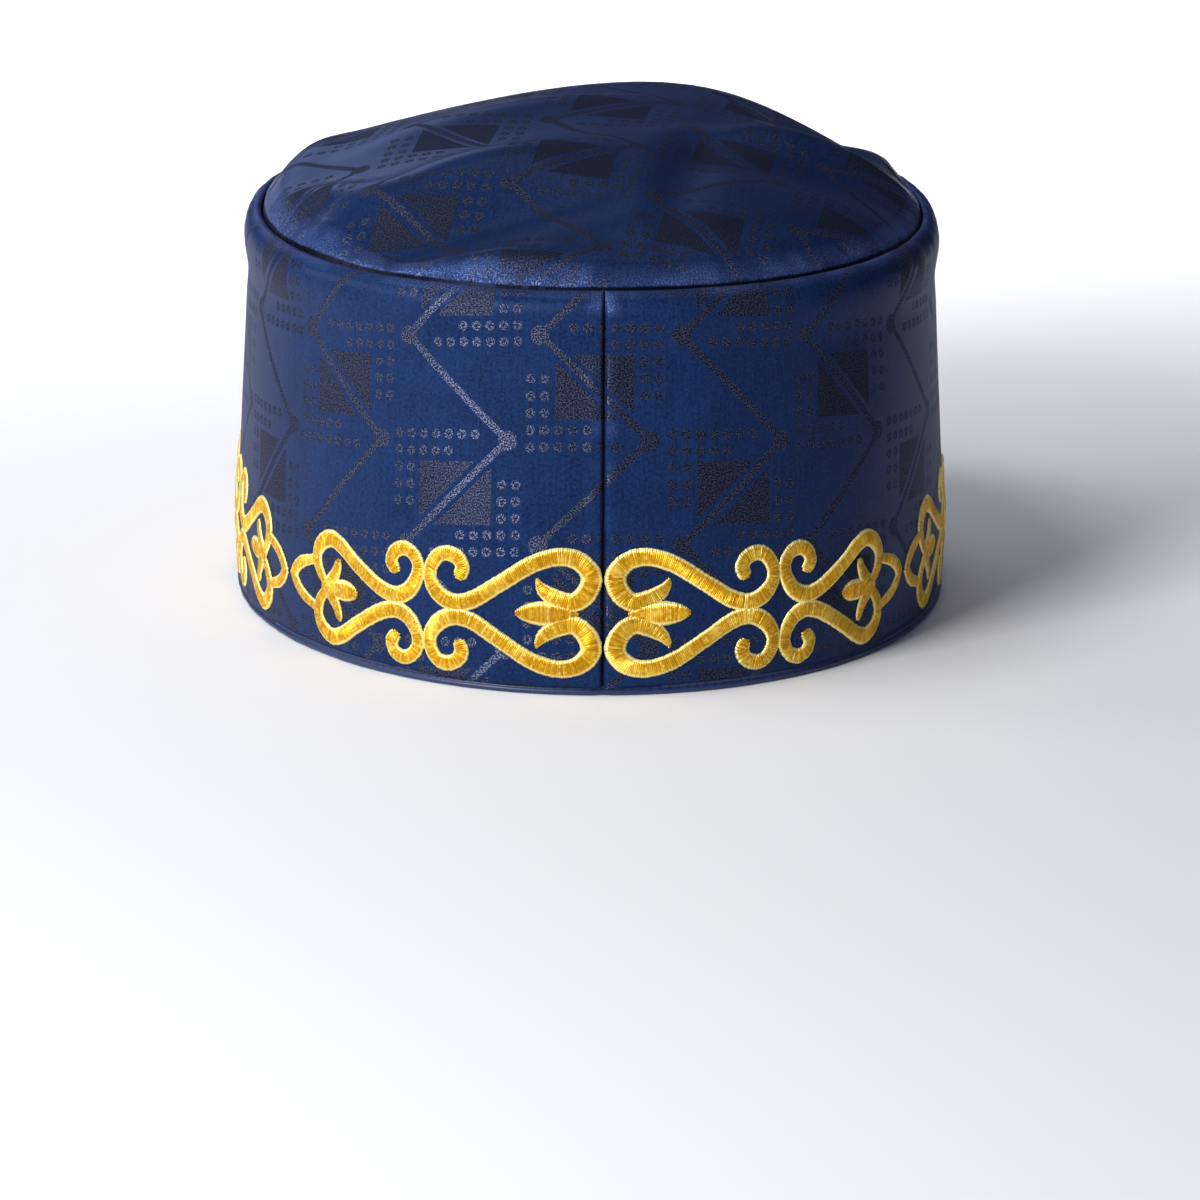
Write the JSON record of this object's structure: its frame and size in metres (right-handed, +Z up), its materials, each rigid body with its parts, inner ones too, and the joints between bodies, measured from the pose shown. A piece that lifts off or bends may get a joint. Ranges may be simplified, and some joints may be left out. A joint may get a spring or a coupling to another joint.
{
  "type": "kufi",
  "caption": "Soft round kufi of navy satin jacquard with a rolled crown seam, a narrow hem and a raised gold scroll border round its lower band.",
  "frame": {"origin": "middle of the cap's outline, on the surface that its rim rests on", "axes": "+Z up from the rim to the crown, +Y towards the front, the seam of the band at -Y, +X to the right seen from the back"},
  "size_m": [0.1756, 0.2168, 0.1162],
  "materials": {
    "satin_jacquard": "satin ground with a matt tone-on-tone woven pattern",
    "hem_satin": "satin, folded and stitched",
    "gold_thread": "glossy satin stitch"
  },
  "bodies": {
    "root": {"side_band": "satin_jacquard", "crown": "satin_jacquard", "rim_hem": "hem_satin", "scroll_back_right": "gold_thread", "scroll_side_right": "gold_thread", "scroll_front_right": "gold_thread", "scroll_front": "gold_thread", "scroll_front_left": "gold_thread", "scroll_side_left": "gold_thread", "scroll_back_left": "gold_thread"}
  },
  "joints": []
}
